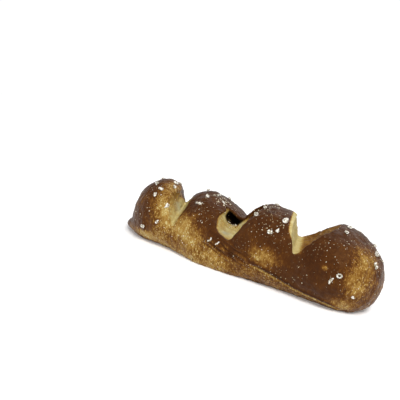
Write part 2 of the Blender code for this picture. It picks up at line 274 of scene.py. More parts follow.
@dataclass(frozen=True)
class Dough:
    """The risen roll: its surface before the scores open it.

    Its numbers are the frame's own, so that what is built here fills the same space.
    """

    stations: tuple[Station, ...] = (
        Station(-63.5 * MM, 29.0 * MM, 11.0 * MM, 33.0 * MM, 2.2),
        Station(-48 * MM, 30.8 * MM, 13.5 * MM, 35.5 * MM, 2.1),
        Station(-28 * MM, 31.0 * MM, 14.5 * MM, 38.0 * MM, 2.8),
        Station(-10 * MM, 32.6 * MM, 15.0 * MM, 39.5 * MM, 4.8),
        Station(8 * MM, 34.2 * MM, 15.5 * MM, 40.0 * MM, 2.8),
        Station(40 * MM, 35.4 * MM, 15.5 * MM, 41.5 * MM, 2.2),
        Station(66.5 * MM, 34.0 * MM, 12.5 * MM, 40.0 * MM, 2.2),
    )
    scores: tuple[Score, ...] = (
        Score(
            "score_1", -40.5 * MM, 19, front=21 * MM, back=20 * MM,
            tip_front=12 * MM, crest=17 * MM, tip_back=17 * MM,
            left=-1.5 * MM, right=7.5 * MM, flare=7 * MM, undercut=2.5 * MM,
            left_dip=3 * MM, left_reach=9 * MM, right_dip=10 * MM, right_reach=18 * MM,
        ),
        Score(
            "score_2", -5 * MM, 4, front=17 * MM, back=2 * MM,
            tip_front=16.5 * MM, crest=18 * MM, tip_back=20 * MM,
            left=4.8 * MM, right=8.5 * MM, flare=9 * MM, undercut=3 * MM,
            left_dip=9.5 * MM, left_reach=24 * MM, right_dip=9.5 * MM, right_reach=10 * MM,
            middle=-5 * MM, skew=0.8, back_bluntness=0.07, corner=4 * MM,
            left_wall=((0.12, 0, 0), (0.72, 0.08, 0), (0.94, 0.20, 0.2), (1.0, 0.45, 0.6), (0.85, 1, 0)),
        ),
        Score(
            "score_3", 23 * MM, 16, front=22 * MM, back=24 * MM,
            tip_front=22 * MM, crest=18.5 * MM, tip_back=18 * MM,
            left=2 * MM, right=16.5 * MM, flare=0.5 * MM, undercut=1.5 * MM,
            left_dip=3 * MM, left_reach=16 * MM, right_dip=4 * MM, right_reach=18 * MM,
            back_flare=8 * MM,
        ),
    )
    slim_end: RoundEnd = RoundEnd(16 * MM, 17 * MM, 11 * MM)
    plump_end: RoundEnd = RoundEnd(30 * MM, 22 * MM, 17 * MM)
    end_roundness: float = 2.2
    crown_squareness: float = 2.15
    trimmed: float = 2.5 * MM
    foot_length: float = 6.2 * MM
    foot_height: float = 2.5 * MM
    foot_side: float = -3 * MM
    foot_size: float = 3.5 * MM
    foot_reach: float = 12 * MM
    waist_reach: float = 8 * MM
    waist_side: float = 0.06
    step_width: float = 2 * MM
    pulled_above: float = 0.35
    lump_size: float = 22 * MM
    lump_height: float = 0.8 * MM
    lump_seed: tuple[float, float, float] = (3.7, 1.9, 8.2)

    def at(self, x: float, size: str) -> float:
        """Reads one of the stations' sizes at any place along the roll.

        Args:
            x: The place.
            size: The name of a Station field.

        Returns:
            The size there, on a smooth curve through the stations.
        """
        spots = [station.x for station in self.stations]
        values = [getattr(station, size) for station in self.stations]
        last = len(spots) - 1
        i = max(0, min(last - 1, sum(x >= spot for spot in spots) - 1))

        def slope(k: int) -> float:
            """Gives the curve's slope at a station."""
            before, after = max(0, k - 1), min(last, k + 1)
            return (values[after] - values[before]) / (spots[after] - spots[before])

        span = spots[i + 1] - spots[i]
        t = max(0.0, min(1.0, (x - spots[i]) / span))
        bend = span * (slope(i) * t * (1 - t) ** 2 - slope(i + 1) * t * t * (1 - t))
        return values[i] + (values[i + 1] - values[i]) * smooth_step(0, 1, t) + bend

    def fullness(self, x: float, reach: float) -> float:
        """Gives how full the roll is at a place along it.

        Args:
            x: The place.
            reach: How far from the tip that end's rounding starts.

        Returns:
            From 0 at the tip to 1 where the rounding starts.
        """
        tip = self.stations[-1].x if x > 0 else self.stations[0].x
        into = max(0.0, 1 - abs(tip - x) / reach)
        return (1 - into**self.end_roundness) ** (1 / self.end_roundness)

    def foot(self, point: Vector) -> float:
        """Gives how far the small foot at the slim end stands out.

        Args:
            point: A point of the plain roll.

        Returns:
            How far the point moves out along the roll.
        """
        low = bell(point.z - self.foot_height, self.foot_size)
        middle = bell(point.y - self.foot_side, 2 * self.foot_size)
        tip = self.stations[0].x
        return self.foot_length * low * middle * smooth_step(tip + self.foot_reach, tip, point.x)

    def valley(self, score: Score, off: float) -> float:
        """Gives how far the crown dips beside a score: steepest at its line, and level at its reach.

        Args:
            score: The score.
            off: How far to the right of its line.

        Returns:
            The dip.
        """
        over = smooth_step(-self.step_width, self.step_width, off)
        dip = score.left_dip + (score.right_dip - score.left_dip) * over
        reach = score.right_reach if off > 0 else score.left_reach
        return dip * max(0.0, 1 - abs(off) / reach) ** 2

    def risen(self, point: Vector) -> Vector:
        """Gives where a point of the plain roll ends up once the dough has risen round its scores.

        Args:
            point: The point.

        Returns:
            Its new place.
        """
        offs = [score.off(point.x, point.y) for score in self.scores]
        dip = max(self.valley(score, off) for score, off in zip(self.scores, offs))
        pinch = max(bell(off, self.waist_reach) for off in offs)
        crown = self.at(point.x, "crown")
        high = smooth_step(self.pulled_above * crown, crown, point.z)
        narrowed = point.y * (1 - self.waist_side * pinch)
        moved = Vector((point.x - self.foot(point), narrowed, point.z - dip * high))
        away = Vector((0, point.y, point.z - self.at(point.x, "belly"))).normalized()
        lump = noise.noise(point / self.lump_size + Vector(self.lump_seed))
        return moved + away * self.lump_height * lump

    def surface_point(self, along: float, angle: float) -> Vector:
        """Gives a point of the risen roll.

        Args:
            along: From -1 at the slim tip to 1 at the plump one.
            angle: The direction round X, from the back over the crown.

        Returns:
            The point.
        """
        first, last = self.stations[0].x, self.stations[-1].x
        x = (first + last) / 2 + (last - first) / 2 * along
        end = self.plump_end if x > 0 else self.slim_end
        belly = self.at(x, "belly")
        above = (self.at(x, "crown") - belly) * self.fullness(x, end.crown)
        below = (belly + self.trimmed) * self.fullness(x, end.base)
        half = self.at(x, "width") / 2 * self.fullness(x, end.sides)
        power = 2 / (self.crown_squareness if math.sin(angle) > 0 else self.at(x, "skirt"))
        across = math.copysign(abs(math.cos(angle)) ** power, math.cos(angle))
        up = math.copysign(abs(math.sin(angle)) ** power, math.sin(angle))
        return self.risen(Vector((x, half * across, belly + up * (above if up > 0 else below))))


@dataclass(frozen=True)
class ScoreCutter:
    """The wedge of air that opens a score: widest over the crown, and closed at both tips."""

    dough: Dough
    score: Score
    segments: int = 48
    rings: int = 40
    rise: float = 30 * MM
    front_bluntness: float = 0.6
    tip_width: float = 0.03
    # Up the right wall: shares of its lean and of the score's depth
    right_wall: tuple[tuple[float, float], ...] = (
        (0.14, 0),
        (0.42, 0.14),
        (0.70, 0.42),
        (0.92, 0.72),
        (1.15, 1),
    )
    left_top: float = 0.75
    right_top: float = 1.60
    skew_start: float = 3 * MM
    # Between which shares of the cut's length the corner and the skew come in
    corner_between: tuple[float, float] = (-0.5, 0.6)
    skew_between: tuple[float, float] = (-0.5, 0.2)

    def section(self, u: float, floor: float) -> list[tuple[float, float]]:
        """Gives the wedge's section.

        Args:
            u: From -1 at the front tip to 1 at the back one.
            floor: The height of the score's floor there.

        Returns:
            Points to the right and up, from the left wall's top down and up to the right wall's top.
        """
        score = self.score
        depth = self.dough.at(score.x, "crown") - floor
        bluntness = self.front_bluntness if u < 0 else score.back_bluntness
        narrow = max(self.tip_width, (1 - u * u) ** bluntness)
        corner = score.corner * smooth_step(*self.corner_between, u)
        left = (score.left + score.flare * max(0, -u) + corner) * narrow
        under = score.undercut * narrow
        right = (score.right + score.back_flare * max(0, u)) * narrow
        left_points = [(-left * lean - under * in_, floor + depth * up) for lean, up, in_ in score.left_wall]
        right_points = [(right * lean, floor + depth * up) for lean, up in self.right_wall]
        top = floor + self.rise
        left_top, right_top = (-left * self.left_top, top), (right * self.right_top, top)
        return [left_top, *reversed(left_points), *right_points, right_top]

    def point(self, along: float, angle: float) -> Vector:
        """Gives a point of the wedge.

        Args:
            along: From -1 at the front tip to 1 at the back one.
            angle: The direction round the wedge's section.

        Returns:
            The point.
        """
        score = self.score
        u = math.asin(along) / (math.pi / 2)
        run = score.middle + u * (score.front if u < 0 else score.back)
        tip = score.tip_front if u < 0 else score.tip_back
        floor = tip + (score.crest - tip) * (1 - u * u)
        corners = self.section(u, floor)
        corners.append(corners[0])
        share = (angle / (2 * math.pi)) % 1 * (len(corners) - 1)
        i = min(len(corners) - 2, int(share))
        t = share - i
        right_by = corners[i][0] + (corners[i + 1][0] - corners[i][0]) * t
        height = corners[i][1] + (corners[i + 1][1] - corners[i][1]) * t
        run += score.skew * max(0.0, right_by + self.skew_start) * smooth_step(*self.skew_between, u)
        slant = math.radians(score.slant)
        over = Vector((math.cos(slant), math.sin(slant), 0)) * right_by
        back = Vector((-math.sin(slant), math.cos(slant), 0)) * run
        return Vector((score.x, 0, height)) + over + back

    def build(self) -> bpy.types.Object:
        """Makes the wedge from a drawn-out ball."""
        return draw_out(add_ball(self.score.name, self.segments, self.rings), self.point)


# ---------------------------------------------------------------------------------------------------------
# Finishes


def add_node(
    tree: bpy.types.NodeTree, kind: str, links: dict[str | int, object] | None = None, **settings: object
) -> bpy.types.Node:
    """Adds one node to a material.

    Args:
        tree: The material's node tree.
        kind: The node's type, without its ShaderNode prefix.
        links: What each input takes: a socket to link, or a value to set.
        settings: The values of the node's own fields.

    Returns:
        The node.
    """
    node = tree.nodes.new("ShaderNode" + kind)
    for key, value in settings.items():
        setattr(node, key, value)
    for key, value in (links or {}).items():
        if isinstance(value, bpy.types.NodeSocket):
            tree.links.new(value, node.inputs[key])
        else:
            node.inputs[key].default_value = value
    return node


def set_ramp(node: bpy.types.Node, stops: tuple[tuple[float, str], ...]) -> None:
    """Sets a colour ramp's stops.

    Args:
        node: The ramp.
        stops: Each stop's place and sRGB colour.
    """
    ramp = node.color_ramp
    while len(ramp.elements) > 1:
        ramp.elements.remove(ramp.elements[-1])
    ramp.elements[0].position, ramp.elements[0].color = stops[0][0], linear(stops[0][1])
    for place, colour in stops[1:]:
        ramp.elements.new(place).color = linear(colour)


def new_material(name: str) -> tuple[bpy.types.Material, bpy.types.Node]:
    """Makes an empty material that has only its shader.

    Args:
        name: The material's name.

    Returns:
        The material and the shader.
    """
    material = bpy.data.materials.new(name)
    material.use_nodes = True
    return material, material.node_tree.nodes["Principled BSDF"]


def set_inputs(shader: bpy.types.Node, values: dict[str, object]) -> None:
    """Sets what is the same all over a surface on its shader's own sockets."""
    for socket, value in values.items():
        shader.inputs[socket].default_value = value


@dataclass(frozen=True)
class LyeBakedCrust:
    """Lye-baked bread: satin crust that runs from dark brown to gold, and matte cream crumb where it tore.

    The lye bath gives the crust a thin glazed skin with fine blisters, so it has soft highlights that break
    up into sparkles. The crumb in the scores baked without that skin, so it is pale, dull and porous.
    """

    # From crumb that never browned to crust that nearly burnt
    tones: tuple[tuple[float, str], ...] = (
        (0.00, "c6bd8f"),
        (0.16, "b5a46a"),
        (0.30, "a28548"),
        (0.42, "8f6c32"),
        (0.54, "6e481b"),
        (0.66, "4b2a0f"),
        (0.80, "391d0c"),
        (1.00, "180903"),
    )
    speck_colour: str = "d8c9a2"
    # Painted shade: near black in the hollow behind the middle score and under the crust that roofs it
    hollow_shade_colour: str = "0d0402"
    damp_colour: str = "989a86"
    highlight_tint: str = "c89664"
    cloud_size: float = 5.5 * MM
    mottle_size: float = 1.6 * MM
    fleck_size: float = 0.55 * MM
    blister_size: float = 1.1 * MM
    skin_size: float = 0.35 * MM
    # The blisters and flecks were drawn up as the dough rose
    drawn_up: float = 0.42
    cloud_strength: float = 0.16
    mottle_strength: float = 0.30
    # Painted highlights: from which fleck to which the crust's tone is made paler, as if it glinted, and how
    # far it shifts the tone there
    painted_glint_between: tuple[float, float] = (0.52, 0.72)
    painted_glint_shift: tuple[float, float] = (0.04, -0.36)
    # Gold crust is streaked and blistered, where dark crust and crumb are even
    gold_between: tuple[float, float] = (0.74, 0.46)
    evenness: float = 0.30
    # Specks of salt and flour that the glaze holds, a third of a millimetre across
    speck_spacing: float = 1.3 * MM
    speck_edge: tuple[float, float] = (0.20, 0.12)
    roughness: float = 0.46
    roughness_spread: float = 0.1
    crumb_roughness: float = 0.75

    def material(self) -> bpy.types.Material:
        """Makes the loaf's material, which reads the attributes that Loaf.brown paints.

        Returns:
            The material.
        """
        material, shader = new_material("lye_baked_crust")
        tree = material.node_tree
        place = add_node(tree, "TexCoord").outputs["Object"]
        scale = (1.0, 1.0, self.drawn_up)
        tall = add_node(tree, "Mapping", {"Vector": place, "Scale": scale}).outputs["Vector"]
        # The hollow attribute holds painted shade, darkest in the hollow and under its roof
        painted = {
            name: add_node(tree, "Attribute", attribute_name=name).outputs["Fac"]
            for name in ("bake", "crumb", "hollow", "damp", "dust")
        }
        noises = {}
        for name, size, detail, vector in (
            ("cloud", self.cloud_size, 3, place),
            ("mottle", self.mottle_size, 4, tall),
            ("fleck", self.fleck_size, 2, tall),
            ("skin", self.skin_size, 3, place),
        ):
            links = {"Vector": vector, "Scale": 1 / size, "Detail": detail, "Roughness": 0.6}
            noises[name] = add_node(tree, "TexNoise", links).outputs["Fac"]
        links = {"Vector": place, "Scale": 1 / self.speck_spacing}
        cells = add_node(tree, "TexVoronoi", links).outputs["Distance"]
        links = {"Vector": tall, "Scale": 1 / self.blister_size, "Smoothness": 0.6}
        blisters = add_node(tree, "TexVoronoi", links, feature="SMOOTH_F1").outputs["Distance"]

        # For each: what is read, from where to where, and what comes out there
        ranges = {
            "gold": (painted["bake"], *self.gold_between, self.evenness, 1.0),
            "even": (painted["crumb"], 0.0, 1.0, 1.0, self.evenness),
            "clouds": (noises["cloud"], 0.0, 1.0, -self.cloud_strength, self.cloud_strength),
            "mottling": (noises["mottle"], 0.0, 1.0, -self.mottle_strength, self.mottle_strength),
            "painted_glint": (noises["fleck"], *self.painted_glint_between, *self.painted_glint_shift),
            "specks": (cells, *self.speck_edge, 0.0, 1.0),
            "dull": (
                noises["mottle"], 0.3, 0.7,
                self.roughness - self.roughness_spread, self.roughness + self.roughness_spread,
            ),
        }
        ranged = {
            name: add_node(tree, "MapRange", dict(enumerate(values))).outputs[0]
            for name, values in ranges.items()
        }

        # The tone: what was painted, with soft clouds, and with mottling and painted glints, paler specks
        # that stand in for highlights, where it is lively
        sums = {**painted, **ranged}
        for name, operation, *terms in (
            ("lively", "MULTIPLY", "gold", "even"),
            ("flecked", "ADD", "mottling", "painted_glint"),
            ("clouded", "ADD", "bake", "clouds"),
            ("toasted", "MULTIPLY_ADD", "flecked", "lively", "clouded"),
            ("dusted", "MULTIPLY", "specks", "dust"),
        ):
            links = {i: sums[term] for i, term in enumerate(terms)}
            sums[name] = add_node(tree, "Math", links, operation=operation).outputs[0]
        crust = add_node(tree, "ValToRGB", {"Fac": sums["toasted"]})
        set_ramp(crust, self.tones)

        # Over the crust's tone lie its specks, the glassy crumb and, last, the painted shade of the hollow
        coat = crust.outputs["Color"]
        layers = (("dusted", self.speck_colour), ("damp", self.damp_colour), ("hollow", self.hollow_shade_colour))
        for name, colour in layers:
            links = {0: sums[name], 6: coat, 7: linear(colour)}
            coat = add_node(tree, "Mix", links, data_type="RGBA").outputs[2]
        tree.links.new(coat, shader.inputs["Base Color"])
        links = {0: painted["crumb"], 2: ranged["dull"], 3: self.crumb_roughness}
        satin = add_node(tree, "Mix", links, data_type="FLOAT").outputs[0]
        tree.links.new(satin, shader.inputs["Roughness"])
        set_inputs(shader, {
            "Specular IOR Level": 0.33,
            "Specular Tint": linear(self.highlight_tint),
            "Subsurface Weight": 0.06,
            "Subsurface Radius": (1.0, 0.5, 0.25),
            "Subsurface Scale": 1.2 * MM,
        })

        # Blisters, skin and grit, each laid over the one before
        links = {}
        for height, strength, distance in (
            (blisters, 0.7, -0.14 * MM),
            (noises["skin"], 0.6, 0.10 * MM),
            (noises["fleck"], 0.6, 0.16 * MM),
        ):
            links |= {"Height": height, "Strength": strength, "Distance": distance}
            links["Normal"] = add_node(tree, "Bump", links).outputs["Normal"]
        tree.links.new(links["Normal"], shader.inputs["Normal"])
        return material


@dataclass(frozen=True)
class PretzelSalt:
    """Coarse pressed salt: opaque white grains with a chalky skin, which pass a little light."""

    name: str = "pretzel_salt"
    colour: str = "e9e6dd"
    shade: str = "8f8468"
    roughness: float = 0.42
    chalk_size: float = 0.8 * MM
    chalk_depth: float = 0.12 * MM

    def material(self) -> bpy.types.Material:
        """Makes the salt's material.

        Returns:
            The material.
        """
        material, shader = new_material(self.name)
        tree = material.node_tree
        place = add_node(tree, "TexCoord").outputs["Object"]
        links = {"Vector": place, "Scale": 1 / self.chalk_size, "Detail": 4.0}
        chalk = add_node(tree, "TexNoise", links).outputs["Fac"]
        tone = add_node(tree, "ValToRGB", {"Fac": chalk})
        set_ramp(tone, ((0.40, self.shade), (0.56, self.colour)))
        tree.links.new(tone.outputs["Color"], shader.inputs["Base Color"])
        bump = add_node(tree, "Bump", {"Height": chalk, "Strength": 0.5, "Distance": self.chalk_depth})
        tree.links.new(bump.outputs["Normal"], shader.inputs["Normal"])
        set_inputs(shader, {
            "Roughness": self.roughness,
            "Subsurface Weight": 0.25,
            "Subsurface Radius": (1.0, 1.0, 1.0),
            "Subsurface Scale": 0.5 * MM,
        })
        return material


# ---------------------------------------------------------------------------------------------------------
# The loaf


@dataclass(frozen=True)
class Patch:
    """A soft spot of the loaf, in millimetres: where the oven browned it otherwise, or where it differs."""

    at: tuple[float, float, float]
    size: tuple[float, float, float]
    tone: float = 0.0

    def reach(self, point: Vector) -> float:
        """Gives how much of the patch there is at a point, from 0 to 1."""
        off = sum(((p - c * MM) / (s * MM)) ** 2 for p, c, s in zip(point, self.at, self.size))
        return math.exp(-off) if off < 9 else 0.0


@dataclass(frozen=True)
class Lumps:
    """One layer of soft lumps: how high and wide they are, and how far they are drawn out upwards."""

    height: float
    size: float
    seed: int
    drawn_up: float = 1.0

    def at(self, point: Vector) -> float:
        """Gives the layer's height at a point."""
        drawn = Vector((point.x, point.y, point.z * self.drawn_up))
        return self.height * grain_of(drawn, self.size, self.seed)


@dataclass(frozen=True)
class Crease:
    """The crease low on the front, where the side slumped over the base: a groove under a small ledge."""

    # Its two ends' x and height
    start: tuple[float, float] = (9 * MM, 10 * MM)
    end: tuple[float, float] = (53 * MM, 1.5 * MM)
    fade_in: tuple[float, float] = (-3 * MM, 4 * MM)
    fade_out: tuple[float, float] = (2 * MM, -4 * MM)
    wave_height: float = 0.5 * MM
    wave_angle: float = 9
    width: float = 0.55 * MM
    depth: float = 0.6 * MM
    # How strong each is, how far above the crease and how wide
    ledge: tuple[float, float, float] = (0.6 * MM, 1.1 * MM, 0.9 * MM)
    dark_line: tuple[float, float, float] = (0.20, 0.9 * MM, 0.9 * MM)
    pale_line: tuple[float, float, float] = (0.42, -0.7 * MM, 0.5 * MM)
    below: tuple[float, float] = (-0.3 * MM, -1.5 * MM)
    below_tone: float = 0.53
    below_strength: float = 0.8

    def find(self, point: Vector) -> tuple[float, float]:
        """Gives how the crease lies to a point.

        Args:
            point: A point of the loaf.

        Returns:
            How much of the crease there is, from 0 to 1, and how far the point is above it.
        """
        if point.y > 0:
            return 0.0, 0.0
        (first, high), (last, low) = self.start, self.end
        share = (point.x - first) / (last - first)
        height = high + (low - high) * share + self.wave_height * math.sin(share * self.wave_angle)
        fading_in = smooth_step(*(first + value for value in self.fade_in), point.x)
        fading_out = smooth_step(*(last + value for value in self.fade_out), point.x)
        return fading_in * fading_out, point.z - height

    def relief(self, point: Vector) -> float:
        """Gives how far the crease moves the surface out.

        Args:
            point: A point of the surface.

        Returns:
            Less than nothing in the groove, and more on the ledge.
        """
        lit, above = self.find(point)
        high, up, wide = self.ledge
        return -self.depth * lit * bell(above, self.width) + high * lit * bell(above - up, wide)

    def toned(self, point: Vector, tone: float) -> float:
        """Darkens the ledge, and leaves the groove and what is under it paler.

        Args:
            point: A point of the surface.
            tone: Its tone without the crease.

        Returns:
            Its tone with the crease.
        """
        lit, above = self.find(point)
        dark, pale = (
            strength * bell(above - up, wide) for strength, up, wide in (self.dark_line, self.pale_line)
        )
        tone += lit * (dark - pale)
        return tone + lit * (self.below_tone - tone) * smooth_step(*self.below, above) * self.below_strength


@dataclass(frozen=True)
class Tears:
    """How the scores laid the crumb bare, and how brown it is in each.

    The first score stretched open slowly and browned from its left lip down, so its crumb fades in. The
    others tore late: their crumb starts at a sharp lip, and the third one's floor is darker away from its
    left rim.
    """

    scores: tuple[Score, ...]
    # Where each rules: how near its line, and up to or from which place along the loaf
    first_rules: tuple[float, float] = (14 * MM, -22 * MM)
    second_rules: tuple[float, float] = (14 * MM, 12 * MM)
    third_rules: tuple[float, float] = (24 * MM, 8 * MM)
    uneven: float = 3 * MM
    first_left: tuple[float, float] = (0.8 * MM, -2.6 * MM)
    first_lip: tuple[float, float] = (0.4 * MM, 1.2 * MM)
    first_fade: float = 2.6 * MM
    first_tones: tuple[float, float, float] = (0.12, 0.18, 0.08)
    lip: tuple[float, float] = (0.45 * MM, 1.1 * MM)
    lip_brown: tuple[float, float] = (2.2 * MM, 0.8 * MM)
    tones: tuple[float, float, float] = (0.19, 0.12, 0.12)
    # Behind the second score and right of it the third lobe's crust is whole
    whole_behind: tuple[float, float] = (-13 * MM, -8 * MM)
    whole_right: tuple[float, float] = (1.0 * MM, 3.5 * MM)
    # The third score's bare left rim, which widens over the shoulder
    shoulder: tuple[float, float] = (23 * MM, 31 * MM)
    rim_left: tuple[float, float] = (-0.4 * MM, 4.2 * MM)
    rim_soft: float = 0.4 * MM
    rim_right: tuple[float, float] = (5 * MM, 2 * MM)
    rim_height: tuple[float, float] = (21 * MM, 24 * MM)
    floor: tuple[float, float] = (1.5 * MM, 4 * MM)
    floor_uneven: float = 4 * MM
    floor_tones: tuple[float, float, float] = (0.11, 0.38, 0.05)

    def at(self, point: Vector, depth: float) -> tuple[float, float]:
        """Gives how far the crumb is laid bare at a point, and how brown it is there.

        Args:
            point: A point of the surface.
            depth: How far below the crust it is.

        Returns:
            The share of bare crumb, from 0 to 1, and its tone.
        """
        first, second, third = (score.off(point.x, point.y) for score in self.scores)
        blotch = grain_of(point, self.uneven, seed=14)
        near, until = self.first_rules
        if abs(first) < near and point.x < until:
            left = smooth_step(*self.first_left, first)
            share = smooth_step(self.first_lip[0], self.first_lip[1] + self.first_fade * left, depth)
            raw, browned, varied = self.first_tones
            return share, raw + browned * left + varied * blotch
        share = smooth_step(*self.lip, depth)
        near, until = self.second_rules
        if abs(second) < near and point.x < until:
            share *= 1 - smooth_step(*self.whole_behind, point.y) * smooth_step(*self.whole_right, second)
        raw, varied, browned = self.tones
        tone = raw + varied * blotch + browned * smooth_step(*self.lip_brown, depth)
        near, since = self.third_rules
        if abs(third) < near and point.x > since:
            edge = self.rim_left[0] - self.rim_left[1] * smooth_step(*self.shoulder, point.z)
            bare = smooth_step(edge - self.rim_soft, edge + self.rim_soft, third)
            bare *= smooth_step(*self.rim_right, third) * smooth_step(*self.rim_height, point.z)
            share = max(share, bare)
            raw, browned, varied = self.floor_tones
            blotch = grain_of(point, self.floor_uneven, seed=12)
            tone = raw + smooth_step(*self.floor, third) * (browned + varied * blotch)
        return share, tone


@dataclass(frozen=True)
class Loaf:
    """The baked loaf: roll, scores, hollow, flat base, and the fine relief of its crust and crumb."""

    dough: Dough = Dough()
    name: str = "baked_loaf"
    segments: int = 150
    rings: int = 130
    voxel: float = 0.495 * MM
    smoothing_passes: int = 5
    hollow_place: tuple[float, float, float] = (-9.9, -0.4, 22.4)
    hollow_size: tuple[float, float, float] = (7.6, 11.5, 4.8)
    hollow_tilt: float = 27

    # Where each patch is, how far it spreads, and the tone it brings the crust to
    patches: tuple[Patch, ...] = (
        # The first lobe: brown at its end, gold over its right shoulder, cream down to the score
        Patch((-57, -12, 18), (6, 9, 10), 0.64),
        Patch((-43.5, -5, 30), (4.5, 9, 6), 0.40),
        Patch((-39, -1, 25), (3.5, 5, 6), 0.36),
        Patch((-42.5, -14, 21), (5, 6, 8), 0.34),
        Patch((-38.5, -14, 20), (3.2, 7, 7.5), 0.22),
        Patch((-36, -17, 15), (4, 4, 4), 0.32),
        Patch((-40, -17, 8), (5, 5, 4.5), 0.40),
        Patch((-48, -16, 4), (9, 6, 2.5), 0.24),
        Patch((-36, -15, 2), (8, 6, 1.6), 0.30),
        Patch((-16, -16, 1.5), (20, 8, 3.0), 0.36),
        # The second: dark crown, gold belly
        Patch((-27, -7, 27), (8, 11, 8), 0.72),
        Patch((-13, -17, 20), (4.5, 5, 8), 0.74),
        Patch((-28, -18, 17), (6.5, 5, 6.5), 0.35),
        Patch((-23, -19, 11), (10, 6, 6), 0.33),
        Patch((-10, -19, 6.5), (10, 6, 4), 0.36),
        Patch((5, -18, 5.5), (9, 6, 3.2), 0.52),
        Patch((-5, -19, 14), (6, 5, 2.6), 0.68),
        # The third: dark crown, gold bulge
        Patch((9, -11, 29), (9, 12, 7), 0.74),
        Patch((15, -19, 15), (7, 5, 4.5), 0.37),
        # The fourth: dark face, gold over its end
        Patch((38, -18, 21), (9, 8, 9), 0.76),
        Patch((43, -10, 31), (9, 9, 6), 0.73),
        Patch((58, -10, 25), (5.5, 9, 8), 0.40),
        Patch((59, -15, 15), (6, 7, 6), 0.38),
        Patch((54, -16, 4.5), (5, 5, 3), 0.36),
        Patch((65, 0, 12), (5, 12, 7), 0.58),
        Patch((44, -20, 20.5), (1.2, 3, 1.0), 0.30),
        # Round the back, in the same manner
        Patch((-50, 15, 16), (8, 8, 8), 0.70),
        Patch((-22, 18, 12), (12, 6, 6), 0.52),
        Patch((-25, 10, 27), (9, 8, 7), 0.80),
        Patch((8, 18, 12), (9, 6, 6), 0.55),
        Patch((10, 10, 29), (9, 8, 7), 0.82),
        Patch((42, 18, 14), (12, 6, 6), 0.56),
        Patch((42, 12, 29), (10, 8, 7), 0.82),
    )

    crust_tone: float = 0.72
    low_down: tuple[float, float] = (9 * MM, 2 * MM)
    low_paler: float = 0.14
    all_browner: float = 0.02

    # Where the first score's left lip rose over: across the cut, up, and from the front
    lip_right: tuple[float, float] = (3.5 * MM, 1.0 * MM)
    lip_left: tuple[float, float] = (-10 * MM, -6 * MM)
    lip_height: tuple[float, float] = (10 * MM, 14 * MM)
    lip_front: tuple[float, float] = (0, -5 * MM)
    lip_passes: int = 90

    crease: Crease = Crease()
    crust_lumps: tuple[Lumps, ...] = (
        Lumps(0.30 * MM, 7 * MM, 1),
        Lumps(0.34 * MM, 2.6 * MM, 2, drawn_up=0.6),
        Lumps(0.18 * MM, 1.2 * MM, 3),
    )
    crumb_lumps: tuple[Lumps, ...] = (Lumps(0.55 * MM, 3.2 * MM, 4), Lumps(0.38 * MM, 1.4 * MM, 5))
    crumb_starts: tuple[float, float] = (0.5 * MM, 1.4 * MM)
    rim_lumps: Lumps = Lumps(0.5 * MM, 2.2 * MM, 9)
    rim_height: float = 1.0 * MM
    rim_width: float = 1.6 * MM

    # The slack crust's folds below the second score
    slack: Patch = Patch((-2, -19, 12), (13, 6, 4.5))
    fold_height: float = 0.55 * MM
    fold_pitch: float = 0.42 * MM
    fold_slope: float = 0.30
    fold_drift: float = 6
    fold_drift_size: float = 2.0 * MM
    # Painted shade and light on the folds: the tone is darker between them and paler on top of them
    fold_painted_shade: float = 0.10

    # Glassy crumb, drifts of specks, and the painted shade in and over the hollow
    pools: tuple[Patch, ...] = (
        Patch((-40, -3, 20), (2.4, 3.5, 3)),
        Patch((-7.5, -13, 18), (3.2, 3.6, 2.6)),
    )
    pool_strength: tuple[float, float, float] = (0.75, 0.7, 0.6)
    drift: Patch = Patch((12, -14, 28), (7, 7, 6))
    drift_size: float = 9 * MM
    drift_strength: tuple[float, float, float] = (0.12, 0.8, 0.7)
    dark_from: tuple[float, float] = (0.4 * MM, 0.8 * MM)
    roofed: tuple[float, float] = (-4.6 * MM, -3.6 * MM)
    dark_edge: tuple[float, float] = (1.25, 1.05)
    dark_below: tuple[float, float] = (0.5 * MM, -0.5 * MM)

    def rise(self) -> bpy.types.Object:
        """Makes the roll as it would be with no scores in it."""
        return draw_out(add_ball("roll", self.segments, self.rings), self.dough.surface_point)

    def open_scores(self, roll: bpy.types.Object) -> None:
        """Cuts the scores and the hollow behind the middle one, and takes the surface to one even grain.

        Args:
            roll: What rise made.
        """
        cutters = [ScoreCutter(self.dough, score).build() for score in self.dough.scores]
        bpy.ops.object.select_all(action="DESELECT")
        place = [value * MM for value in self.hollow_place]
        bpy.ops.mesh.primitive_uv_sphere_add(segments=48, ring_count=32, radius=0.5, location=place)
        cutters.append(named("hollow"))
        cutters[-1].scale = [value * MM for value in self.hollow_size]
        cutters[-1].rotation_euler = (0, math.radians(self.hollow_tilt), 0)
        for cutter in cutters:
            finish_modifier(roll, "BOOLEAN", operation="DIFFERENCE", solver="EXACT", object=cutter)
            bpy.data.objects.remove(cutter)
        finish_modifier(roll, "REMESH", mode="VOXEL", voxel_size=self.voxel, use_smooth_shade=True)
        finish_modifier(roll, "SMOOTH", factor=0.5, iterations=self.smoothing_passes)
        self.soften_first_lip(roll)

    def soften_first_lip(self, roll: bpy.types.Object) -> None:
        """Rounds the left lip of the first score, which rose over while it baked.

        Args:
            roll: The scored roll.
        """
        first = self.dough.scores[0]
        group = roll.vertex_groups.new(name="soft_lip")
        for vert in roll.data.vertices:
            off = first.off(vert.co.x, vert.co.y)
            across = smooth_step(*self.lip_right, off) * smooth_step(*self.lip_left, off)
            up = smooth_step(*self.lip_height, vert.co.z)
            weight = across * up * smooth_step(*self.lip_front, vert.co.y)
            if weight > 0:
                group.add([vert.index], weight, "REPLACE")
        finish_modifier(roll, "SMOOTH", factor=0.6, iterations=self.lip_passes, vertex_group=group.name)
        roll.vertex_groups.clear()

    def depth_below(self, envelope: BVHTree, point: Vector) -> float:
        """Gives how far inside the unscored roll a point is."""
        spot, normal, _, distance = envelope.find_nearest(point)
        return distance if (point - spot).dot(normal) < 0 else 0.0

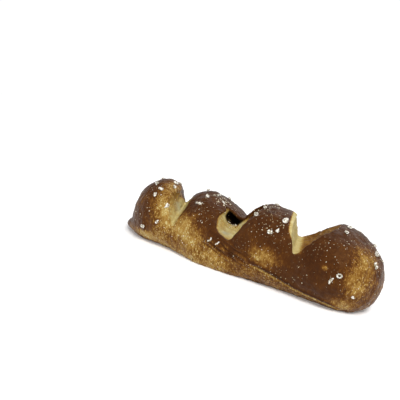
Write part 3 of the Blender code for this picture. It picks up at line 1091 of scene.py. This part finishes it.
    def wrinkle(self, point: Vector) -> float:
        """Gives the slack crust's folds below the second score.

        Args:
            point: A point of the surface.

        Returns:
            From -1 between two folds to 1 on top of one.
        """
        bent = Vector((point.x / 3, point.y / 2, point.z + self.fold_slope * point.x))
        drift = self.fold_drift * grain_of(bent, self.fold_drift_size, seed=15)
        return self.slack.reach(point) * math.sin(bent.z / self.fold_pitch + drift)

    def relief(self, point: Vector, depth: float) -> float:
        """Gives the height of the fine relief at a point of the loaf.

        Args:
            point: A point of the smooth surface.
            depth: How far below the crust it is.

        Returns:
            How far the surface moves out there.
        """
        crumb = smooth_step(*self.crumb_starts, depth)
        skin = sum(lumps.at(point) for lumps in self.crust_lumps) + self.fold_height * self.wrinkle(point)
        torn = sum(lumps.at(point) for lumps in self.crumb_lumps)
        return skin * (1 - crumb) + torn * crumb + self.crease.relief(point)

    def sculpt(self, loaf: bpy.types.Object, depths: np.ndarray) -> None:
        """Gives the smooth loaf its relief, and sets it down on its flat base.

        Args:
            loaf: The smooth loaf.
            depths: How far below the crust each of its vertices is.
        """
        mesh = loaf.data
        normals = [Vector(normal.vector) for normal in mesh.vertex_normals]
        for vert, normal, depth in zip(mesh.vertices, normals, depths):
            moved = vert.co + normal * self.relief(vert.co, depth)
            rim = bell(moved.z - self.rim_height, self.rim_width)
            moved += Vector((normal.x, normal.y, 0)) * (self.rim_lumps.at(vert.co) * rim)
            moved.z = max(moved.z, 0.0)
            vert.co = moved
        mesh.update()

    def tone(self, point: Vector, bare: float, inside: float) -> float:
        """Gives how brown the loaf is at a point, with the folds' painted shade and light in it.

        Args:
            point: A point of the surface.
            bare: The share of bare crumb there.
            inside: The crumb's tone.

        Returns:
            From 0 for raw crumb to 1 for nearly burnt crust.
        """
        tone = self.crust_tone - self.low_paler * smooth_step(*self.low_down, point.z)
        for patch in self.patches:
            tone += (patch.tone - tone) * patch.reach(point)
        # Painted shade between the folds and painted light on their tops, then the crease's lines
        tone = self.crease.toned(point, tone - self.fold_painted_shade * self.wrinkle(point))
        return tone + (inside - tone) * bare + self.all_browner

    def brown(self, loaf: bpy.types.Object, depths: np.ndarray) -> None:
        """Paints the attributes that the material reads: bake, crumb, hollow, damp and dust; hollow is
        painted shade.

        Args:
            loaf: The loaf with its relief.
            depths: How far below the crust each of its vertices is.
        """
        mesh = loaf.data
        tears = Tears(self.dough.scores)
        rows = []
        for vert, depth in zip(mesh.vertices, depths):
            bare, inside = tears.at(vert.co, depth)
            # Painted shade: darker in the hollow and under the crust that roofs it, below the crust's depth
            dark = self.shade(vert.co) * smooth_step(*self.dark_from, depth)
            damp = self.damp(vert.co) * bare
            rows.append((self.tone(vert.co, bare, inside), bare, dark, damp, self.dust(vert.co)))
        values = np.array(rows, dtype=np.float32)
        for column, name in enumerate(("bake", "crumb", "hollow", "damp", "dust")):
            attribute = mesh.attributes.new(name, "FLOAT", "POINT")
            attribute.data.foreach_set("value", values[:, column].copy())

    def damp(self, point: Vector) -> float:
        """Gives how glassy the crumb is: most at the bottom of the first two scores.

        Args:
            point: A point of the surface.

        Returns:
            From 0 to 1.
        """
        most, even, varied = self.pool_strength
        glassy = even + varied * grain_of(point, 2 * MM, seed=16)
        return most * max(pool.reach(point) for pool in self.pools) * glassy

    def dust(self, point: Vector) -> float:
        """Gives how thick the specks lie: in drifts, the thickest on the third lobe.

        Args:
            point: A point of the surface.

        Returns:
            From 0 to about 1.
        """
        thin, varied, thick = self.drift_strength
        strewn = thin + varied * grain_of(point, self.drift_size, seed=6)
        return max(0.0, strewn + thick * self.drift.reach(point))

    def shade(self, point: Vector) -> float:
        """Gives how much painted shade the hollow puts on a point: in it, and under the crust that roofs it.

        Args:
            point: A point of the surface.

        Returns:
            From 0 to 1.
        """
        off = point - Vector(value * MM for value in self.hollow_place)
        level = Matrix.Rotation(math.radians(-self.hollow_tilt), 3, "Y") @ off
        level.z = min(level.z, 0.0)
        size = sum((2 * value / (s * MM)) ** 2 for value, s in zip(level, self.hollow_size))
        covered = max(smooth_step(*self.roofed, point.y), smooth_step(*self.dark_below, off.z))
        return smooth_step(*self.dark_edge, math.sqrt(size)) * covered

    def build(self) -> bpy.types.Object:
        """Makes the loaf, with its relief, its browning and its material.

        Returns:
            The loaf.
        """
        loaf = self.rise()
        envelope = surface_of(loaf)
        self.open_scores(loaf)
        depths = np.array([self.depth_below(envelope, vert.co) for vert in loaf.data.vertices])
        self.sculpt(loaf, depths)
        self.brown(loaf, depths)
        loaf.name = loaf.data.name = self.name
        loaf.data.materials.append(LyeBakedCrust().material())
        select_only(loaf)
        bpy.ops.object.shade_smooth()
        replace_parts(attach(loaf, "root"), "loaf")
        return loaf


# ---------------------------------------------------------------------------------------------------------
# The salt


class Habit(Enum):
    """What a salt grain looks like."""

    LUMP = "lump"
    RING = "ring"
    FLAKE = "flake"
    STREAK = "streak"


@dataclass(frozen=True)
class Grain:
    """One coarse grain: its habit, how long, wide and high it is in millimetres, and how it is turned."""

    habit: Habit
    length: float
    width: float
    height: float
    turn: float


@dataclass(frozen=True)
class CoarseSalt:
    """The coarse grains, each where the frame has its node, sunk a little into the crust."""

    grains: tuple[Grain, ...] = (
        # On the first lobe
        Grain(Habit.LUMP, 3.0, 2.2, 1.5, 20),
        Grain(Habit.LUMP, 2.6, 1.8, 1.3, 10),
        Grain(Habit.LUMP, 2.2, 1.8, 1.5, 70),
        Grain(Habit.LUMP, 2.6, 2.0, 1.4, 80),
        Grain(Habit.LUMP, 2.2, 1.8, 1.3, 30),
        Grain(Habit.LUMP, 3.0, 1.8, 1.5, 60),
        Grain(Habit.STREAK, 2.2, 1.6, 1.2, 75),
        Grain(Habit.LUMP, 2.4, 1.8, 1.2, 0),
        Grain(Habit.LUMP, 2.4, 1.9, 1.3, 40),
        Grain(Habit.LUMP, 2.8, 2.0, 1.4, 15),
        Grain(Habit.LUMP, 2.0, 1.7, 1.2, 60),
        # On the second
        Grain(Habit.FLAKE, 2.4, 1.8, 1.2, 0),
        Grain(Habit.STREAK, 4.2, 1.6, 1.2, 15),
        Grain(Habit.STREAK, 3.5, 1.5, 1.0, 5),
        Grain(Habit.STREAK, 3.0, 1.3, 1.0, 20),
        Grain(Habit.STREAK, 2.8, 1.3, 1.0, 60),
        Grain(Habit.STREAK, 2.4, 1.2, 1.0, 30),
        Grain(Habit.LUMP, 2.5, 1.9, 1.3, 50),
        Grain(Habit.LUMP, 2.2, 1.8, 1.3, 10),
        Grain(Habit.LUMP, 2.6, 1.7, 1.2, 35),
        # On the third
        Grain(Habit.FLAKE, 2.8, 1.6, 1.2, 10),
        Grain(Habit.RING, 2.4, 2.2, 1.3, 45),
        Grain(Habit.LUMP, 2.6, 2.0, 1.4, 10),
        Grain(Habit.LUMP, 2.2, 1.8, 1.3, 80),
        Grain(Habit.FLAKE, 3.2, 2.6, 0.9, 70),
        Grain(Habit.LUMP, 2.6, 2.0, 1.4, 25),
        Grain(Habit.LUMP, 2.3, 1.7, 1.2, 65),
        # On the fourth
        Grain(Habit.RING, 2.6, 2.2, 1.3, 0),
        Grain(Habit.RING, 3.0, 2.0, 0.9, 25),
        Grain(Habit.RING, 2.8, 2.4, 1.5, 30),
        Grain(Habit.RING, 3.4, 2.0, 1.5, 75),
        Grain(Habit.RING, 2.8, 2.2, 1.5, 0),
        Grain(Habit.STREAK, 3.4, 1.5, 1.1, 65),
        Grain(Habit.LUMP, 1.6, 1.4, 1.0, 0),
        Grain(Habit.LUMP, 2.7, 2.1, 1.4, 20),
        Grain(Habit.LUMP, 2.3, 1.8, 1.2, 55),
        Grain(Habit.LUMP, 2.5, 1.8, 1.3, 35),
    )
    seed: int = 5
    voxel: float = 0.05
    sunk: float = 0.22 * MM
    kept_faces: float = 0.4
    roughness: float = 0.05

    def shards(
        self, places: list[tuple[float, float]], sizes: tuple[float, float], rng: random.Random
    ) -> list[bpy.types.Object]:
        """Adds one sharp block at each place, turned at random.

        Args:
            places: Where the blocks are in the plan.
            sizes: The smallest and largest of them.
            rng: Where their irregularity comes from.

        Returns:
            The blocks.
        """
        blocks = []
        for x, y in places:
            bpy.ops.object.select_all(action="DESELECT")
            turn = [rng.uniform(0, math.pi) for _ in range(3)]
            place = (x, y, rng.uniform(-0.1, 0.1))
            bpy.ops.mesh.primitive_cube_add(size=rng.uniform(*sizes), location=place, rotation=turn)
            blocks.append(named("block"))
        return blocks

    def lump(self, rng: random.Random) -> list[bpy.types.Object]:
        """Adds the blocks that a broken lump is pressed from."""
        places = [(rng.uniform(-0.3, 0.3), rng.uniform(-0.3, 0.3)) for _ in range(6)]
        return self.shards([(0, 0), *places], (0.26, 0.44), rng)

    def streak(self, rng: random.Random) -> list[bpy.types.Object]:
        """Adds a row of small blocks, for a grain that crumbled into a line."""
        places = [(-0.45 + 0.13 * i, rng.uniform(-0.16, 0.16)) for i in range(8)]
        return self.shards(places, (0.12, 0.27), rng)

    def ring(self, rng: random.Random) -> list[bpy.types.Object]:
        """Adds a broken ring, for a grain that is hollow in its middle, as pressed salt often is."""
        turns = [2 * math.pi * i / 9 for i in range(9)]
        return self.shards([(0.36 * math.cos(t), 0.36 * math.sin(t)) for t in turns], (0.18, 0.30), rng)

    def flake(self, rng: random.Random) -> list[bpy.types.Object]:
        """Adds two thin plates that overlap.

        Args:
            rng: Where their irregularity comes from.

        Returns:
            The plates.
        """
        plates = []
        for i in range(2):
            bpy.ops.object.select_all(action="DESELECT")
            place = (rng.uniform(-0.15, 0.15), rng.uniform(-0.12, 0.12), -0.05 + 0.1 * i)
            turn = (0.1 * i, 0.15, rng.uniform(0, 3))
            bpy.ops.mesh.primitive_cylinder_add(
                vertices=7, radius=0.42 - 0.12 * i, depth=0.22, location=place, rotation=turn
            )
            plates.append(named("plate"))
        return plates

    def model(self, name: str, grain: Grain, rng: random.Random) -> bpy.types.Object:
        """Makes one grain about the origin, with its base under it.

        Args:
            name: Its name.
            grain: What it is like.
            rng: Where its irregularity comes from.

        Returns:
            The grain.
        """
        obj = joined(getattr(self, grain.habit.value)(rng), name)
        place_in_mesh(obj, Matrix.Identity(4))
        finish_modifier(obj, "REMESH", mode="VOXEL", voxel_size=self.voxel, use_smooth_shade=False)
        finish_modifier(obj, "DECIMATE", ratio=self.kept_faces)
        lift = rng.uniform(0, 9)
        for vert in obj.data.vertices:
            rough = self.roughness * noise.noise(vert.co * 5 + Vector((lift, 0, 0)))
            vert.co += vert.co.normalized() * rough
        low = Vector(min(vert.co[i] for vert in obj.data.vertices) for i in range(3))
        high = Vector(max(vert.co[i] for vert in obj.data.vertices) for i in range(3))
        size = Vector((grain.length * MM, grain.width * MM, grain.height * MM))
        for vert in obj.data.vertices:
            share = Vector((vert.co[i] - low[i]) / (high[i] - low[i]) for i in range(3))
            vert.co = Vector(((share.x - 0.5) * size.x, (share.y - 0.5) * size.y, share.z * size.z))
        return obj

    def build(self, crust: BVHTree) -> None:
        """Makes every grain and sets it on the crust under its node.

        Args:
            crust: The loaf's surface.
        """
        rng = random.Random(self.seed)
        salt = PretzelSalt().material()
        for number, grain in enumerate(self.grains, 1):
            node = f"salt_grain_{number:02d}"
            low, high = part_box(node)
            spot, normal, _, _ = crust.find_nearest((low + high) / 2)
            upright = normal.to_track_quat("Z", "Y").to_matrix().to_4x4()
            turned = Matrix.Rotation(math.radians(grain.turn), 4, "Z")
            obj = self.model(f"coarse_salt_{number:02d}", grain, rng)
            place_in_mesh(obj, Matrix.Translation(spot - normal * self.sunk) @ upright @ turned)
            obj.data.materials.append(salt)
            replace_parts(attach(obj, "root"), node)


class Matter(Enum):
    """What a sprinkle of crumbs is of."""

    SALT = "salt"
    BREAD = "bread"


@dataclass(frozen=True)
class Sprinkle:
    """Crumbs in one part of the crust: salt that broke off the grains, or toasted bits of the crust.

    Its place and spread are in millimetres.
    """

    name: str
    at: tuple[float, float, float]
    spread: tuple[float, float, float]
    count: int
    largest: float = 0.60 * MM
    matter: Matter = Matter.SALT


@dataclass(frozen=True)
class Crumbs:
    """The fine salt between the coarse grains, and toasted crumbs in the third score and round the base."""

    sprinkles: tuple[Sprinkle, ...] = (
        Sprinkle("fine_salt_lobe_1", (-48, -8, 24), (9, 14, 9), 60),
        Sprinkle("fine_salt_lobe_2", (-20, -8, 26), (9, 14, 8), 60),
        Sprinkle("fine_salt_crown_2", (-18, -1, 29), (5, 5, 3), 70, 0.95 * MM),
        Sprinkle("fine_salt_score_2", (-8, -4.5, 20.3), (2.6, 1.4, 0.8), 30, 1.1 * MM),
        Sprinkle("fine_salt_lobe_3", (10, -10, 25), (10, 13, 9), 100),
        Sprinkle("fine_salt_crown_3", (8, 0, 33), (9, 9, 3), 60, 0.8 * MM),
        Sprinkle("fine_salt_lobe_4", (45, -8, 25), (12, 14, 9), 100),
        Sprinkle("fine_salt_end", (62, 0, 22), (4, 12, 12), 60, 0.8 * MM),
        Sprinkle("fine_salt_belly", (0, -19, 11), (35, 4, 6), 70),
        Sprinkle("fine_salt_back", (0, 18, 18), (45, 8, 10), 160),
        Sprinkle("crumbs_score_3", (31, 11, 26), (6, 4, 4), 90, 1.3 * MM, Matter.BREAD),
        Sprinkle("crumbs_base_front", (0, -17, 1), (55, 3, 1), 120, 1.1 * MM, Matter.BREAD),
        Sprinkle("crumbs_base_back", (0, 17, 1), (55, 3, 1), 120, 1.1 * MM, Matter.BREAD),
    )
    smallest: float = 0.22 * MM
    # Crumbs thin out away from the middle of their place, and most are small, longish and flat
    thinning: float = 1.6
    smallness: float = 2.5
    length: tuple[float, float] = (0.8, 1.6)
    flatness: float = 0.7
    seed: int = 23

    def bread(self) -> bpy.types.Material:
        """Makes the toasted crumbs' material: dull brown, a little uneven.

        Returns:
            The material.
        """
        material, shader = new_material("toasted_crumbs")
        tree = material.node_tree
        place = add_node(tree, "TexCoord").outputs["Object"]
        blotch = add_node(tree, "TexNoise", {"Vector": place, "Scale": 1 / (3 * MM)}).outputs["Fac"]
        tone = add_node(tree, "ValToRGB", {"Fac": blotch})
        set_ramp(tone, ((0.35, "4a2a11"), (0.65, "94703f")))
        tree.links.new(tone.outputs["Color"], shader.inputs["Base Color"])
        shader.inputs["Roughness"].default_value = 0.7
        return material

    def template(self) -> bpy.types.Object:
        """Makes one chipped crumb, a unit across.

        Returns:
            The crumb.
        """
        bpy.ops.object.select_all(action="DESELECT")
        bpy.ops.mesh.primitive_ico_sphere_add(subdivisions=1, radius=0.5)
        crumb = named("crumb")
        for vert in crumb.data.vertices:
            vert.co *= 1 + 0.35 * noise.noise(vert.co * 4)
        return crumb

    def build(self, crust: BVHTree) -> None:
        """Sprinkles the crumbs over the crust, one piece for each part of it.

        Args:
            crust: The loaf's surface.
        """
        rng = random.Random(self.seed)
        crumb = self.template()
        salt = PretzelSalt(name="fine_pretzel_salt", colour="ddd4bd", shade="b7a888").material()
        bread = self.bread()
        for sprinkle in self.sprinkles:
            copies = []
            for _ in range(sprinkle.count):
                about = zip(sprinkle.at, sprinkle.spread)
                aim = Vector(rng.gauss(c, s / self.thinning) * MM for c, s in about)
                spot = crust.find_nearest(aim)[0]
                spot.z = max(spot.z, sprinkle.largest)
                size = self.smallest + (sprinkle.largest - self.smallest) * rng.random() ** self.smallness
                shape = Vector((size * rng.uniform(*self.length), size, size * self.flatness))
                turn = Euler([rng.uniform(0, math.pi) for _ in range(3)]).to_quaternion()
                copy = crumb.copy()
                copy.data = crumb.data.copy()
                copy.data.transform(Matrix.LocRotScale(spot, turn, shape))
                bpy.context.scene.collection.objects.link(copy)
                copies.append(copy)
            piece = joined(copies, sprinkle.name)
            salty = sprinkle.matter is Matter.SALT
            piece.data.materials.append(salt if salty else bread)
            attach(piece, "root")
        bpy.data.objects.remove(crumb)


# ---------------------------------------------------------------------------------------------------------
# The studio


@dataclass(frozen=True)
class Studio:
    """A pale floor, soft lights and the camera."""

    azimuth: float = 25
    elevation: float = 16
    roll: float = 10.91
    distance: float = 0.36
    target: tuple[float, float, float] = (-0.0301, 0, 0.0256)
    lens: float = 65.1
    sensor: float = 36
    aim: tuple[float, float, float] = (0, 0, 0.015)
    # The sky is white low down, so that it shows behind the loaf, and dimmer above these heights
    low_sky: float = 1.05
    overhead: float = 0.42
    sky_fade: tuple[float, float] = (0.04, 0.22)
    # No wider than the lamps light evenly, so that its far edge melts into the white low sky
    floor_radius: float = 0.40

    def camera(self) -> None:
        """Sets the camera at its angle, rolled a little, as the loaf lies aslant in its view."""
        az, el, roll = (math.radians(value) for value in (self.azimuth, self.elevation, self.roll))
        back = Vector((math.sin(az) * math.cos(el), -math.cos(az) * math.cos(el), math.sin(el)))
        level = Vector((math.cos(az), math.sin(az), 0))
        up = back.cross(level)
        right = level * math.cos(roll) + up * math.sin(roll)
        rolled_up = up * math.cos(roll) - level * math.sin(roll)
        data = bpy.data.cameras.new("camera")
        data.lens, data.sensor_width = self.lens, self.sensor
        data.clip_start, data.clip_end = 0.01, 20
        camera = bpy.data.objects.new("camera", data)
        bpy.context.scene.collection.objects.link(camera)
        turn = Matrix((right, rolled_up, back)).transposed().to_4x4()
        camera.matrix_world = Matrix.Translation(Vector(self.target) + back * self.distance) @ turn
        bpy.context.scene.camera = camera

    def lamp(self, name: str, place: tuple[float, float, float], size: float, watts: float) -> None:
        """Adds a square soft light that faces the loaf.

        Args:
            name: The light's name.
            place: Where it stands, in metres.
            size: How long its sides are.
            watts: How strong it is.
        """
        data = bpy.data.lights.new(name, "AREA")
        data.size, data.energy = size, watts
        lamp = bpy.data.objects.new(name, data)
        bpy.context.scene.collection.objects.link(lamp)
        lamp.location = place
        lamp.rotation_mode = "QUATERNION"
        lamp.rotation_quaternion = (Vector(place) - Vector(self.aim)).to_track_quat("Z", "Y")

    def floor(self) -> None:
        """Lays the floor."""
        bpy.ops.object.select_all(action="DESELECT")
        bpy.ops.mesh.primitive_circle_add(vertices=96, radius=self.floor_radius, fill_type="NGON")
        floor = named("floor")
        material, shader = new_material("matte_white_floor")
        set_inputs(shader, {
            "Base Color": linear("f7f7f7"),
            "Roughness": 0.95,
            "Specular IOR Level": 0.1,
            "Emission Color": linear("ffffff"),
            "Emission Strength": 0.15,
        })
        floor.data.materials.append(material)

    def build(self) -> None:
        """Sets up the floor, the lights, the sky and the camera."""
        self.floor()
        self.lamp("key_light", (0.35, -0.45, 0.75), size=0.35, watts=7.5)
        self.lamp("fill_light", (-0.8, -0.6, 0.45), size=0.8, watts=1.5)
        self.lamp("back_light", (0.1, 0.7, 0.7), size=0.8, watts=2.5)
        world = bpy.data.worlds.new("sky")
        world.use_nodes = True
        tree = world.node_tree
        way = add_node(tree, "TexCoord").outputs["Generated"]
        height = add_node(tree, "SeparateXYZ", {0: way}).outputs["Z"]
        links = dict(enumerate((height, *self.sky_fade, self.low_sky, self.overhead)))
        glow = add_node(tree, "MapRange", links)
        sky = tree.nodes["Background"]
        sky.inputs["Color"].default_value = linear("ffffff")
        tree.links.new(glow.outputs[0], sky.inputs["Strength"])
        scene = bpy.context.scene
        scene.world = world
        scene.view_settings.view_transform = "Standard"
        scene.view_settings.look = "None"
        self.camera()


def main() -> None:
    """Builds the loaf, its salt and the studio, and reports each."""
    logging.basicConfig(level=logging.INFO, format="%(name)s: %(message)s")
    loaf = Loaf().build()
    LOG.info("loaf: %d vertices", len(loaf.data.vertices))
    crust = surface_of(loaf)
    CoarseSalt().build(crust)
    LOG.info("coarse salt: %d grains", len(CoarseSalt().grains))
    Crumbs().build(crust)
    LOG.info("fine salt and crumbs: %d pieces", len(Crumbs().sprinkles))
    Studio().build()
    LOG.info("studio: camera, floor and lights")


if __name__ == "__main__":
    main()
